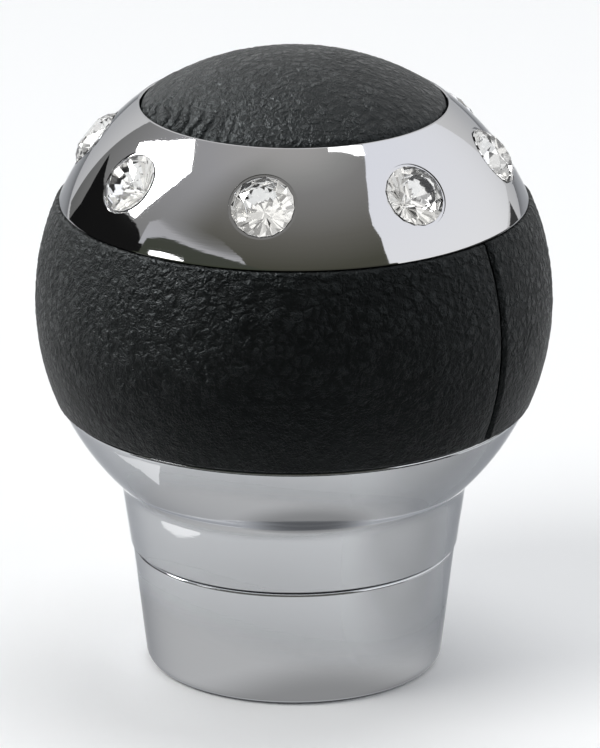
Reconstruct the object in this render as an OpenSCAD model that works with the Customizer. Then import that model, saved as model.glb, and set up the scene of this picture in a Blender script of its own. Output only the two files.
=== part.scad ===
// Gear shift knob: a leather and chrome ball on a short neck, with a threaded collar under it.
// The origin is the centre of the collar's foot, +Z runs up the lever axis and -Y is the front.

/* [Ball] */
// Diameter over the leather band
ball_d = 54; // [50:0.5:60]
// Depth at which the chromed surface lies below the leather
chrome_step = 0.3; // [0.1:0.05:0.5]

/* [Leather band] */
// Angle above the horizon, seen from the centre of the ball, of the upper edge of the band
band_angle = 23.35; // [20:0.05:25]
// Thickness of the leather of the band
band_t = 1.2; // [0.8:0.1:1.6]
// Rounding of the cut edges of the leather
leather_edge_r = 0.4; // [0.2:0.05:0.6]
// Open line between the leather and the chromed edges beside it
leather_gap = 0.12; // [0.05:0.01:0.3]
// Width of the butt seam where the ends of the band meet
seam_w = 0.15; // [0.1:0.05:0.4]
// Direction of the butt seam, from the front towards +X
seam_turn = 53; // [0:1:359]

/* [Leather cap] */
// Angle above the horizon, seen from the centre of the ball, of the rim round the cap
rim_angle = 52.7; // [50:0.1:55]
// Height of the crown of the cap above its edge
cap_rise = 4.9; // [3:0.1:6.5]
// Thickness of the leather of the cap
cap_t = 1.1; // [0.8:0.1:1.4]
// Rounding where the crown of the cap turns down into its recess
cap_edge_r = 1.6; // [1.3:0.1:2.2]
// Height of the edge of the crown above the chromed rim
cap_proud = 0.2; // [0:0.05:0.6]
// Width of the edge that is turned in under the plate
cap_turned_w = 1.85; // [1.5:0.05:2.4]
// Thickness of the plastic plate under the cap
cap_plate_t = 2; // [1.4:0.1:2.6]
// Width of a snap leg
leg_w = 5; // [3:0.5:6]
// Thickness of a snap leg
leg_t = 1.2; // [0.9:0.1:1.5]
// Reach of the hook of a snap leg
hook_reach = 1.1; // [0.8:0.1:1.3]
// Height of the hook of a snap leg
hook_h = 1.3; // [1:0.1:1.6]
// Height of the blunt edge of a hook
hook_edge = 0.3; // [0.2:0.05:0.5]
// Depth to which a snap leg is rooted in the plate
leg_root = 1.5; // [1:0.1:1.8]

/* [Crystals] */
// Number of stones round the ring
stone_count = 8; // [6:1:9]
// Diameter of a stone at its girdle
stone_d = 6.5; // [5:0.1:7]
// Diameter of the flat table on top of a stone
table_d = 3.7; // [2.6:0.1:4]
// Height of the crown of a stone above its girdle
crown_h = 1; // [0.7:0.05:1.3]
// Thickness of the girdle of a stone
girdle_t = 0.15; // [0.1:0.05:0.3]
// Depth of the pointed back of a stone below its girdle
pavilion_h = 2.6; // [2:0.1:3]
// Height of the table above the chromed surface
stone_proud = 0.85; // [0.5:0.05:1]
// Angle above the horizon of the stones, seen from the centre of the ball
stone_angle = 38.3; // [37:0.1:40]
// Direction of the first stone, from the front towards +X
stone_turn = -8.7; // [-22:0.1:22]
// Width of the open ring between a stone and the wall of its seat
seat_gap = 0.3; // [0.15:0.05:0.4]
// Chamfer of the mouth of a seat
seat_chamfer = 0.3; // [0.1:0.05:0.4]

/* [Crystal ring] */
// Width of the flat edge of the ring round the cap
rim_w = 0.23; // [0.15:0.01:0.5]
// Depth of the recess that takes the cap
recess_h = 2.8; // [2.4:0.1:3.4]
// Thickness of the ledge that the cap stands on
ledge_t = 1.6; // [1.2:0.1:2]
// Depth of the space behind the ledge, where the hooks spread
undercut_w = 1.9; // [1.5:0.1:2]
// Thickness of the flange that the ring screws hold
flange_t = 2; // [1.5:0.1:2.5]
// Width of the flange inside the heads of the ring screws
flange_margin = 0.3; // [0.2:0.05:0.6]
// Chamfer of the chromed edges beside the band
rim_chamfer = 0.14; // [0.1:0.01:0.3]

/* [Bell housing] */
// Thickness of the wall of the bell
bell_t = 2.2; // [1.6:0.1:3]
// Height of the neck, from the seam above the collar to the ball
neck_h = 6.13; // [5.5:0.01:7]
// Step by which the neck stands out past the collar
neck_step = 0.25; // [0.1:0.05:0.5]
// Outward slope of the neck from the seam upwards, in degrees
neck_slope = 7.8; // [4:0.1:10]
// Radius of the hollow fillet between the neck and the ball
neck_fillet_r = 3; // [2:0.1:4]
// Thickness of the floor inside the neck
neck_floor_t = 3.2; // [2.4:0.1:4]
// Draft of the wall inside the neck
neck_draft = 0.2; // [0.1:0.05:0.4]
// Chamfer of the lower edge of the neck
neck_chamfer = 0.25; // [0.1:0.05:0.4]
// Height of the spigots that centre the core
spigot_h = 1.2; // [0.8:0.1:2]
// Thickness of the spigots that centre the core
spigot_t = 1.2; // [0.9:0.1:1.5]

/* [Stem] */
// Wall of the stem, from the socket for the sleeve to the root of the thread
stem_t = 4.4; // [4:0.1:5]
// Depth of the thread, and the step up to the plain land that centres the collar
thread_depth = 0.63; // [0.5:0.01:0.8]
// Height of the plain land above the thread
land_h = 1.6; // [1:0.1:2]
// Height of the stem's end above the floor of the collar
stem_lift = 1.2; // [0.8:0.1:2]
// Chamfer of the end of the stem
stem_chamfer = 0.6; // [0.3:0.1:1]
// Wall of the socket that takes the sleeve, inside the bell
socket_t = 1.75; // [1.4:0.05:1.85]
// Thickness of the closed end of the socket
socket_end_t = 1.8; // [1.4:0.1:2.4]

/* [Adapter sleeve] */
// Diameter of the lever that the sleeve takes
lever_d = 10; // [8:0.5:12]
// Wall of the sleeve
sleeve_t = 3; // [2.4:0.1:3.4]
// Length of the sleeve
sleeve_l = 25.4; // [24:0.2:27]
// Width of the slit along the sleeve
slit_w = 1.6; // [1:0.1:2.4]
// Direction of the slit, from +X towards +Y
slit_turn = 30; // [0:5:355]
// Chamfer of the mouth of the sleeve
mouth_chamfer = 0.6; // [0.3:0.1:1]

/* [Collar] */
// Height of the collar
collar_h = 13; // [12:0.1:14]
// Wall of the collar at its top edge
collar_t = 3.8; // [3.5:0.05:4.4]
// Inward slope of the collar from the top down, in degrees
collar_slope = 6.6; // [4:0.1:8]
// Rounding of the foot of the collar
foot_r = 1.5; // [0.8:0.1:2]
// Chamfer of the top edge of the collar
collar_chamfer = 0.25; // [0.1:0.05:0.4]
// Chamfer of the bore of the collar
bore_chamfer = 0.3; // [0.2:0.05:0.5]
// Thickness of the floor of the collar
collar_floor_t = 2; // [1.5:0.1:2.6]
// Width of the floor of the collar, from its bore in to the opening for the lever
lip_w = 3.15; // [2.4:0.05:3.6]
// Chamfer of the opening for the lever
lip_chamfer = 0.4; // [0.2:0.05:0.6]

/* [Collar washer] */
// Distance of the washer from the bore of the collar
washer_inset = 1.1; // [0.8:0.05:1.3]
// Width of the washer's section
washer_w = 1.5; // [1.2:0.05:1.7]
// Thickness of the washer
washer_t = 0.9; // [0.7:0.05:1.1]
// Open line between the collar and the neck
seam_gap = 0.2; // [0.1:0.05:0.3]

/* [Core] */
// Wall of the core at its two edges
core_t = 2; // [1.5:0.1:2.6]
// Thickness of the web across the core
web_t = 2; // [1.5:0.1:2.6]
// Outer diameter of the bosses that take the ring screws
ring_boss_d = 5.2; // [4.6:0.1:5.6]
// Thickness of the ribs between the bosses and the wall of the core
rib_t = 1.6; // [1.2:0.1:2]
// Outer diameter of the bosses in the bell that take the core screws
core_boss_d = 6; // [5.4:0.1:6.6]
// Distance of those bosses from the inner wall of the core
core_boss_inset = 1; // [0.5:0.1:1.5]

/* [Screws] */
// Number of set screws, of core screws, of ring screws and of snap legs
screw_count = 3; // [3:1:4]
// Direction of the first set screw and of the first ring screw, from +X towards +Y
screw_turn = 90; // [0:5:115]
// Diameter of a set screw
set_screw_d = 5; // [4:0.5:6]
// Distance of the set screws below the seam
set_screw_drop = 4.7; // [4.4:0.1:5]
// Size across the flats of the hexagon socket of a set screw
set_key_af = 2.5; // [2:0.1:3]
// Depth of the hexagon socket of a set screw
set_key_depth = 2; // [1.5:0.1:2.4]
// Distance of a set screw's face below the thread root
set_screw_sunk = 0.35; // [0.2:0.05:0.6]
// Diameter of a core screw
core_screw_d = 3; // [2.5:0.1:3.5]
// Length of a core screw below its head
core_screw_l = 9; // [7:0.5:10]
// Diameter of the head of a core screw
core_head_d = 5.6; // [4.8:0.1:6]
// Diameter of a ring screw
ring_screw_d = 2.6; // [2.2:0.1:3]
// Length of a ring screw below its head
ring_screw_l = 10; // [8:0.5:12]
// Diameter of the head of a ring screw
ring_head_d = 4; // [3.6:0.1:4.2]
// Height of the heads of the core and ring screws
head_h = 1.7; // [1.4:0.1:2]
// Width of the cross in the screw heads
cross_w = 0.8; // [0.6:0.1:1]

/* [Clearances] */
// Space between leather and what it is glued to
glue_gap = 0.1; // [0.05:0.05:0.2]
// Space between flat faces that are seated on each other
face_gap = 0.05; // [0.02:0.01:0.1]
// Radial space of spigots, legs and the cap in what they enter
entry_gap = 0.1; // [0.05:0.01:0.15]
// Radial space of the sleeve, the washer and the screw threads where they fit
screw_gap = 0.05; // [0.03:0.01:0.08]
// Radial space of the bore of the collar round the land of the stem
land_gap = 0.07; // [0.05:0.01:0.1]
// Space between the web of the core and what lies below it
web_gap = 0.6; // [0.4:0.1:1]
// Space between a stone's pointed back and its seat
stone_gap = 0.06; // [0.04:0.01:0.1]
// Space of a shank in the plate that its screw holds down
shank_gap = 0.2; // [0.1:0.05:0.3]

/* [Hidden] */
stone_names = [for (i = [1:stone_count]) str("crystal_", i)];

$fn = 96;
arc_n = 20;
edge_n = 5;
cut = 1;
overlap = 0.001;

lever_r = lever_d / 2;
sleeve_r = lever_r + sleeve_t;
bore_r = sleeve_r + screw_gap;
stem_r = bore_r + stem_t;
land_r = stem_r + thread_depth;
collar_bore_r = land_r + land_gap;
collar_r = collar_bore_r + collar_t;
mouth_r = collar_bore_r - lip_w;
neck_r = collar_r + neck_step;
washer_in_r = collar_bore_r + washer_inset;
washer_out_r = washer_in_r + washer_w;

ball_r = ball_d / 2;
shell_r = ball_r - chrome_step;
core_r = ball_r - band_t - glue_gap;
band_edge_h = ball_r * sin(band_angle);
shoulder_h = band_edge_h + leather_gap;
shoulder_r = sqrt(pow(shell_r, 2) - pow(shoulder_h, 2));

seam_z = collar_h + seam_gap;
ball_z = seam_z + neck_h + sqrt(pow(shell_r, 2) - pow(neck_r, 2));
low_rim_z = ball_z - shoulder_h;
high_rim_z = ball_z + shoulder_h;
floor_z = seam_z + neck_floor_t;
stem_end_z = collar_floor_t + stem_lift;
socket_r = bore_r + socket_t;
socket_z = stem_end_z + sleeve_l + face_gap;
socket_top_z = socket_z + socket_end_t;
set_screw_z = seam_z - set_screw_drop;
between_turn = screw_turn + 180 / screw_count;

core_in_r = sqrt(pow(core_r, 2) - pow(shoulder_h, 2)) - core_t;
spigot_r = core_in_r - entry_gap;
web_z = max(socket_top_z, low_rim_z + spigot_h) + web_gap;
web_top_z = web_z + web_t;
core_screw_r = core_in_r - core_boss_inset - core_boss_d / 2;

rim_r = shell_r * cos(rim_angle);
rim_z = ball_z + shell_r * sin(rim_angle);
recess_r = rim_r - rim_w;
ledge_z = rim_z - recess_h;
ledge_r = recess_r - cap_turned_w;
hollow_r = ledge_r + undercut_w;
flange_top_z = high_rim_z + flange_t;
ring_screw_r = ledge_r - ring_head_d / 2 - entry_gap;
flange_r = ring_screw_r - ring_head_d / 2 - flange_margin;

cap_r = recess_r - entry_gap;
cap_foot_z = ledge_z + face_gap;
dome_r = (pow(cap_r, 2) + pow(cap_rise, 2)) / (2 * cap_rise);
dome_z = rim_z + cap_proud + cap_rise - dome_r;
plate_r = cap_r - cap_t - entry_gap;
plate_dome_r = dome_r - cap_t - glue_gap;
plate_z = cap_foot_z + cap_t + face_gap;
leg_r = cap_r - cap_turned_w - entry_gap;
hook_z = ledge_z - ledge_t - face_gap;

// Points along an arc of radius r round c, from angle a to angle b in n steps
function arc(c, r, a, b, n = arc_n) =
    [for (i = [0:n]) c + r * [cos(a + (b - a) * i / n), sin(a + (b - a) * i / n)]];

// Spins copies of its children round the axis
module around(count, start = 0) {
    for (i = [0:count - 1])
        rotate([0, 0, start + 360 * i / count])
            children();
}

// A pan head screw that points down from the origin, with a cross in its head
module pan_screw(d, l, head_d) {
    difference() {
        union() {
            cylinder(d = head_d, h = head_h * 0.6);
            translate([0, 0, head_h * 0.6])
                cylinder(d1 = head_d, d2 = head_d * 0.7, h = head_h * 0.4);
            translate([0, 0, -l + d / 2])
                cylinder(d = d, h = l - d / 2 + head_h / 2);
            translate([0, 0, -l])
                cylinder(d1 = d * 0.2, d2 = d, h = d / 2);
        }
        for (turn = [0, 90])
            rotate([0, 0, turn])
                translate([-head_d * 0.3, -cross_w / 2, head_h * 0.4])
                    cube([head_d * 0.6, cross_w, head_h]);
    }
}

// Tapered cover ring: threaded inside, open at the foot for the lever, grooved on top for the washer
module collar() {
    t = tan(collar_slope);
    foot_line_r = collar_r - collar_h * t;
    touch_z = foot_r * (1 - sin(collar_slope));
    round_r = foot_line_r + touch_z * t - foot_r * cos(collar_slope);
    groove_z = seam_z - washer_t - 2 * face_gap;
    color("silver")
        difference() {
            rotate_extrude()
                polygon(concat(
                    [[mouth_r, collar_floor_t], [mouth_r, lip_chamfer], [mouth_r + lip_chamfer, 0]],
                    arc([round_r, foot_r], foot_r, -90, -collar_slope, 8),
                    [[collar_r - collar_chamfer * t, collar_h - collar_chamfer],
                     [collar_r - collar_chamfer, collar_h],
                     [collar_bore_r + bore_chamfer, collar_h],
                     [collar_bore_r, collar_h - bore_chamfer],
                     [collar_bore_r, collar_floor_t]]));
            translate([0, 0, groove_z])
                difference() {
                    cylinder(r = washer_out_r + screw_gap, h = collar_h);
                    translate([0, 0, -cut])
                        cylinder(r = washer_in_r - screw_gap, h = collar_h + 2 * cut);
                }
        }
}

// Rubber ring between the collar and the neck
module collar_washer() {
    color("#181818")
        translate([0, 0, seam_z - face_gap - washer_t])
            difference() {
                cylinder(r = washer_out_r, h = washer_t);
                translate([0, 0, -cut])
                    cylinder(r = washer_in_r, h = washer_t + 2 * cut);
            }
}

// Centre of the hollow fillet, which touches the sloped neck and the ball
function fillet_centre() =
    let (
        along = [sin(neck_slope), cos(neck_slope)],
        away = [cos(neck_slope), -sin(neck_slope)],
        from = [neck_r, seam_z] + neck_fillet_r * away - [0, ball_z],
        reach = shell_r + neck_fillet_r,
        mid = from * along,
        step = -mid - sqrt(pow(mid, 2) - from * from + pow(reach, 2))
    )
    from + step * along + [0, ball_z];

// Outline of the bell from the end of the stem up to the rim, and back down its hollow inside
function bell_outline() =
    let (
        c = fillet_centre(),
        join = atan2(c[1] - ball_z, c[0]),
        wall_r = spigot_r - spigot_t,
        hollow = shell_r - bell_t,
        throat_r = neck_r - bell_t,
        turn_in = -acos(wall_r / hollow),
        turn_out = -acos(throat_r / hollow)
    )
    concat(
        [[bore_r, stem_end_z],
         [stem_r - stem_chamfer, stem_end_z],
         [stem_r, stem_end_z + stem_chamfer],
         [stem_r, seam_z - land_h],
         [land_r, seam_z - land_h + thread_depth],
         [land_r, seam_z],
         [neck_r - neck_chamfer, seam_z],
         [neck_r + neck_chamfer * tan(neck_slope), seam_z + neck_chamfer]],
        arc(c, neck_fillet_r, 180 - neck_slope, 180 + join, 10),
        arc([0, ball_z], shell_r, join, -asin((shoulder_h + rim_chamfer) / shell_r)),
        [[shoulder_r - rim_chamfer, low_rim_z],
         [spigot_r, low_rim_z],
         [spigot_r, low_rim_z + spigot_h],
         [wall_r, low_rim_z + spigot_h]],
        arc([0, ball_z], hollow, turn_in, turn_out, 12),
        [[throat_r - neck_draft, floor_z],
         [socket_r, floor_z],
         [socket_r, socket_top_z],
         [0, socket_top_z],
         [0, socket_z],
         [bore_r, socket_z]]);

// Chromed casting: ball zone, neck, threaded stem with its set screw holes, and the lever socket
module bell_housing() {
    color("lightsteelblue")
        difference() {
            union() {
                rotate_extrude()
                    polygon(bell_outline());
                intersection() {
                    around(screw_count, between_turn)
                        translate([core_screw_r, 0, floor_z])
                            cylinder(d = core_boss_d, h = web_z - face_gap - floor_z);
                    translate([0, 0, ball_z])
                        sphere(r = shell_r - bell_t / 2);
                }
            }
            around(screw_count, between_turn)
                translate([core_screw_r, 0, web_z - core_screw_l])
                    cylinder(d = core_screw_d + 2 * screw_gap, h = core_screw_l + cut);
            around(screw_count, screw_turn)
                translate([bore_r - cut, 0, set_screw_z])
                    rotate([0, 90, 0])
                        cylinder(d = set_screw_d + 2 * screw_gap, h = land_r);
        }
}

// Grub screws that clamp the sleeve on the lever, with a cone point and a hexagon socket
module set_screws() {
    tip_r = bore_r + screw_gap;
    face_r = stem_r - set_screw_sunk;
    color("dimgray")
        around(screw_count, screw_turn)
            translate([0, 0, set_screw_z])
                rotate([0, 90, 0])
                    difference() {
                        union() {
                            translate([0, 0, tip_r])
                                cylinder(d1 = set_screw_d * 0.6, d2 = set_screw_d, h = set_screw_d * 0.2);
                            translate([0, 0, tip_r + set_screw_d * 0.2])
                                cylinder(d = set_screw_d, h = face_r - tip_r - set_screw_d * 0.2);
                        }
                        translate([0, 0, face_r - set_key_depth])
                            cylinder(d = set_key_af / cos(30), h = set_key_depth + cut, $fn = 6);
                    }
}

// Split plastic reducer that grips the lever
module adapter_sleeve() {
    color("#303030")
        difference() {
            rotate_extrude()
                polygon([
                    [lever_r + mouth_chamfer, stem_end_z],
                    [sleeve_r - mouth_chamfer, stem_end_z],
                    [sleeve_r, stem_end_z + mouth_chamfer],
                    [sleeve_r, stem_end_z + sleeve_l - mouth_chamfer],
                    [sleeve_r - mouth_chamfer, stem_end_z + sleeve_l],
                    [lever_r, stem_end_z + sleeve_l],
                    [lever_r, stem_end_z + mouth_chamfer]]);
            rotate([0, 0, slit_turn])
                translate([0, -slit_w / 2, stem_end_z - cut])
                    cube([sleeve_r + cut, slit_w, sleeve_l + 2 * cut]);
        }
}

// Plastic core of the ball: a straight-walled drum with a web, screw bosses and ribs
module core_drum() {
    bottom_z = low_rim_z + face_gap;
    top_z = high_rim_z - face_gap;
    half = asin((shoulder_h - face_gap) / core_r);
    boss_h = top_z - web_top_z;
    color("#202020")
        difference() {
            union() {
                rotate_extrude()
                    polygon(concat(
                        [[core_in_r, bottom_z]],
                        arc([0, ball_z], core_r, -half, half),
                        [[core_in_r, top_z],
                         [core_in_r, web_top_z],
                         [0, web_top_z],
                         [0, web_z],
                         [core_in_r, web_z]]));
                around(screw_count, screw_turn)
                    translate([ring_screw_r, 0, web_top_z - cut])
                        cylinder(d = ring_boss_d, h = boss_h + cut);
                around(screw_count, screw_turn)
                    translate([ring_screw_r, -rib_t / 2, web_top_z - cut])
                        cube([core_in_r + core_t / 2 - ring_screw_r, rib_t, boss_h + cut - 2 * spigot_h]);
            }
            around(screw_count, between_turn)
                translate([core_screw_r, 0, web_z - cut])
                    cylinder(d = core_screw_d + 2 * shank_gap, h = web_t + 2 * cut);
            around(screw_count, screw_turn)
                translate([ring_screw_r, 0, top_z + flange_t - ring_screw_l])
                    cylinder(d = ring_screw_d + 2 * screw_gap, h = ring_screw_l);
        }
}

// Screws that hold the core down on the bosses of the bell
module core_screws() {
    color("gray")
        around(screw_count, between_turn)
            translate([core_screw_r, 0, web_top_z + face_gap])
                pan_screw(core_screw_d, core_screw_l, core_head_d);
}

// Strip of leather glued round the core, its two ends butted at the seam
module leather_band() {
    q = leather_edge_r;
    inner_r = ball_r - band_t;
    mid_z = band_edge_h - q;
    mid_r = sqrt(pow(ball_r - q, 2) - pow(mid_z, 2));
    roll = atan2(mid_z, mid_r);
    inner = asin(band_edge_h / inner_r);
    color("#1c1d1d")
        difference() {
            rotate_extrude()
                polygon(concat(
                    arc([mid_r, ball_z - mid_z], q, -90, -roll, edge_n),
                    arc([0, ball_z], ball_r, -roll, roll),
                    arc([mid_r, ball_z + mid_z], q, roll, 90, edge_n),
                    arc([0, ball_z], inner_r, inner, -inner)));
            rotate([0, 0, seam_turn - 90])
                translate([0, -seam_w / 2, low_rim_z - cut])
                    cube([ball_d, seam_w, 2 * shoulder_h + 2 * cut]);
        }
}

// Moves its children from the girdle of a stone at the origin, table up, to stone number i
module stone_place(i) {
    rotate([0, 0, stone_turn - 90 + 360 * (i - 1) / stone_count])
        translate([0, 0, ball_z])
            rotate([0, 90 - stone_angle, 0])
                translate([0, 0, shell_r + stone_proud - crown_h])
                    children();
}

// Seat of one stone: a straight mouth with a chamfer, then a cone for the pointed back
module stone_seat() {
    seat_r = stone_d / 2 + seat_gap;
    step_z = -girdle_t - stone_gap;
    surface_z = crown_h - stone_proud;
    back_r = stone_d / 2 * (1 - stone_gap / pavilion_h) + stone_gap;
    translate([0, 0, step_z])
        cylinder(r = seat_r, h = stone_d);
    translate([0, 0, -girdle_t - pavilion_h - 2 * stone_gap])
        cylinder(r1 = stone_gap, r2 = back_r, h = pavilion_h + stone_gap + overlap);
    translate([0, 0, surface_z - seat_chamfer])
        cylinder(r1 = seat_r, r2 = seat_r + seat_chamfer + cut, h = seat_chamfer + cut);
}

// Chromed ring with the stone seats, the recess for the cap and the flange for its screws
module crystal_ring() {
    color("lightsteelblue")
        difference() {
            rotate_extrude()
                polygon(concat(
                    [[spigot_r - spigot_t, high_rim_z],
                     [spigot_r - spigot_t, high_rim_z - spigot_h],
                     [spigot_r, high_rim_z - spigot_h],
                     [spigot_r, high_rim_z],
                     [shoulder_r - rim_chamfer, high_rim_z]],
                    arc([0, ball_z], shell_r, asin((shoulder_h + rim_chamfer) / shell_r), rim_angle),
                    [[recess_r, rim_z],
                     [recess_r, ledge_z],
                     [ledge_r, ledge_z],
                     [ledge_r, ledge_z - ledge_t],
                     [hollow_r, ledge_z - ledge_t],
                     [hollow_r, flange_top_z],
                     [flange_r, flange_top_z],
                     [flange_r, high_rim_z]]));
            for (i = [1:stone_count])
                stone_place(i)
                    stone_seat();
            around(screw_count, screw_turn)
                translate([ring_screw_r, 0, high_rim_z - cut])
                    cylinder(d = ring_screw_d + 2 * shank_gap, h = flange_t + 2 * cut);
        }
}

// Screws that hold the ring down on the core
module ring_screws() {
    color("gray")
        around(screw_count, screw_turn)
            translate([ring_screw_r, 0, flange_top_z + face_gap])
                pan_screw(ring_screw_d, ring_screw_l, ring_head_d);
}

// Ring of count points of a stone, at radius r and height z, turned by a share of one step
function stone_ring(count, r, z, share = 0) =
    [for (i = [0:count - 1])
        let (a = 360 * (i + share) / count)
        [r * cos(a), r * sin(a), z]];

// Brilliant-cut stone with an eight-sided table, kite facets on its crown and a pointed back
module brilliant() {
    g = stone_d / 2;
    t = table_d / 2;
    m = (g + t) * 0.52;
    m_z = crown_h * (g - m * cos(22.5)) / (g - t);
    points = concat(
        stone_ring(8, t, crown_h),
        stone_ring(8, m, m_z, 0.5),
        stone_ring(16, g, 0),
        stone_ring(16, g, -girdle_t),
        [[0, 0, -girdle_t - pavilion_h]]);
    faces = concat(
        [[7, 6, 5, 4, 3, 2, 1, 0]],
        [for (k = [0:7]) [k, (k + 1) % 8, 8 + k]],
        [for (k = [0:7]) [k, 8 + k, 16 + 2 * k, 8 + (k + 7) % 8]],
        [for (k = [0:7]) [8 + k, 17 + 2 * k, 16 + 2 * k]],
        [for (k = [0:7]) [8 + k, 16 + (2 * k + 2) % 16, 17 + 2 * k]],
        [for (j = [0:15]) [16 + j, 16 + (j + 1) % 16, 32 + (j + 1) % 16, 32 + j]],
        [for (j = [0:15]) [32 + j, 32 + (j + 1) % 16, 48]]);
    polyhedron(points, faces);
}

// Stone number i in its seat
module crystal(i) {
    color("lightcyan")
        stone_place(i)
            brilliant();
}

// Plastic dome under the leather cap, with hooked legs that snap behind the ledge of the ring
module cap_plate() {
    inner_dome_r = plate_dome_r - cap_plate_t;
    rim = asin(plate_r / plate_dome_r);
    in_r = plate_r - cap_plate_t;
    color("#262626") {
        rotate_extrude()
            polygon(concat(
                [[in_r, plate_z], [plate_r, plate_z]],
                arc([0, dome_z], plate_dome_r, 90 - rim, 90, 14),
                arc([0, dome_z], inner_dome_r, 90, 90 - asin(in_r / inner_dome_r), 14)));
        around(screw_count, between_turn)
            intersection() {
                rotate_extrude()
                    polygon([
                        [leg_r - leg_t, plate_z + leg_root],
                        [leg_r - leg_t, hook_z - hook_h],
                        [leg_r, hook_z - hook_h],
                        [leg_r + hook_reach, hook_z - hook_edge],
                        [leg_r + hook_reach, hook_z],
                        [leg_r, hook_z],
                        [leg_r, plate_z + leg_root]]);
                translate([0, -leg_w / 2, hook_z - hook_h - cut])
                    cube([ball_r, leg_w, plate_z + leg_root - hook_z + hook_h + 2 * cut]);
            }
    }
}

// Leather drawn over the plate, turned down at the rim and in under its edge
module leather_cap() {
    q = cap_edge_r;
    p = q - cap_t;
    mid_z = dome_z + sqrt(pow(dome_r - q, 2) - pow(cap_r - q, 2));
    roll = atan2(mid_z - dome_z, cap_r - q);
    fold_r = cap_t * 0.6;
    lip_r = cap_r - cap_turned_w;
    color("#2a2b2b")
        rotate_extrude()
            polygon(concat(
                arc([cap_r - fold_r, cap_foot_z + fold_r], fold_r, -90, 0, edge_n),
                arc([cap_r - q, mid_z], q, 0, roll, edge_n),
                arc([0, dome_z], dome_r, roll, 90),
                arc([0, dome_z], dome_r - cap_t, 90, roll),
                arc([cap_r - q, mid_z], p, roll, 0, edge_n),
                [[cap_r - cap_t, cap_foot_z + cap_t],
                 [lip_r, cap_foot_z + cap_t],
                 [lip_r, cap_foot_z]]));
}

collar();
collar_washer();
bell_housing();
set_screws();
adapter_sleeve();
core_drum();
core_screws();
leather_band();
crystal_ring();
ring_screws();
cap_plate();
leather_cap();
for (i = [1:stone_count])
    crystal(i);
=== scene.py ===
import itertools
import math

import bmesh
import bpy
import numpy as np
from mathutils import Matrix, Vector


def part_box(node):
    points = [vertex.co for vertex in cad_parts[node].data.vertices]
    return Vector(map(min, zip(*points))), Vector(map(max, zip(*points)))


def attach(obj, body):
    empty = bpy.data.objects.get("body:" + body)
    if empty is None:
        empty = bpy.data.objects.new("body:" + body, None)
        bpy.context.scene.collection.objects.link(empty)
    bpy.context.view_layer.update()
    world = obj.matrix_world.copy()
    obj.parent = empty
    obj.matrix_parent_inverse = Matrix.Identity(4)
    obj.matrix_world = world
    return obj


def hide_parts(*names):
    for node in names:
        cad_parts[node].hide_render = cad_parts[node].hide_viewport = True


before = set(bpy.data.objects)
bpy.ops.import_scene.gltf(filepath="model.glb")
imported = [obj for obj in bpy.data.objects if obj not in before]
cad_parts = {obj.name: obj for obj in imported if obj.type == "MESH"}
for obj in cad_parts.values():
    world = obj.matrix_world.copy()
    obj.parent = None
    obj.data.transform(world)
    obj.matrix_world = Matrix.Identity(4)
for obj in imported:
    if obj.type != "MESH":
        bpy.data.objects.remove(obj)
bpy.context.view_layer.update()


# Camera: a long lens at the photograph's height, aimed at the axis just below the knob's middle.
# Its small side step puts the axis a little left of the picture's centre.
MM = 0.001
aim = Vector((0.63, 0.0, 31.29)) * MM
camera_distance = 792.5 * MM
camera_height_angle = math.radians(18.91)

camera_data = bpy.data.cameras.new("camera")
camera_data.sensor_width = 36.0
camera_data.lens = 364.6
camera_data.clip_start = 0.05
camera_data.clip_end = 20.0
camera = bpy.data.objects.new("camera", camera_data)
towards_camera = Vector((0, -math.cos(camera_height_angle), math.sin(camera_height_angle)))
camera.location = aim + camera_distance * towards_camera
camera.rotation_euler = towards_camera.to_track_quat("Z", "Y").to_euler()
bpy.context.scene.collection.objects.link(camera)
bpy.context.scene.camera = camera


# Bell housing: one zinc casting with the lower zone of the ball, the neck, the threaded stem and
# the socket for the sleeve. It is polished and chromed outside, and three holes through the stem
# take the set screws.
ball_centre = (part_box("leather_band")[0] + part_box("leather_band")[1]) * Vector((0, 0, 0.5))
ball_r = 27.0 * MM
shell_r = ball_r - 0.3 * MM
shoulder_h = 10.82 * MM
seam_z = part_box("collar")[1].z + 0.2 * MM
neck_r = 17.2 * MM
neck_slope = math.radians(7.8)
neck_fillet_r = 3.0 * MM
stem_r = 12.45 * MM
land_r = 13.08 * MM
land_h = 1.6 * MM
socket_bore_r = 8.05 * MM
stem_end_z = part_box("bell_housing")[0].z
socket_top_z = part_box("adapter_sleeve")[1].z + 0.05 * MM
socket_r = socket_bore_r + 1.75 * MM
socket_roof_z = socket_top_z + 1.8 * MM
tongue_in_r = 20.0 * MM
tongue_out_r = 21.2 * MM
tongue_h = 1.2 * MM
thread_pitch = 1.5 * MM
stem_thread_r = 13.05 * MM
set_screw_z = (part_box("set_screws")[0].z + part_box("set_screws")[1].z) / 2
set_screw_hole_r = 2.55 * MM
set_screw_hole_ends = (7.0 * MM, 14.5 * MM)
turned_steps = 288


def arc(centre, radius, start, end, steps):
    """Points (radius, height) along an arc, with the angles in radians."""
    turns = [start + (end - start) * i / steps for i in range(steps + 1)]
    return [(centre[0] + radius * math.cos(a), centre[1] + radius * math.sin(a)) for a in turns]


def finish_mesh(bm, name, crease=math.radians(28)):
    """Turns a bmesh into an object whose faces are smooth up to the crease angle."""
    for face in bm.faces:
        face.smooth = True
    for edge in bm.edges:
        if len(edge.link_faces) == 2 and edge.calc_face_angle() > crease:
            edge.smooth = False
    mesh = bpy.data.meshes.new(name)
    bm.to_mesh(mesh)
    bm.free()
    piece = bpy.data.objects.new(name, mesh)
    bpy.context.scene.collection.objects.link(piece)
    return piece


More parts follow.
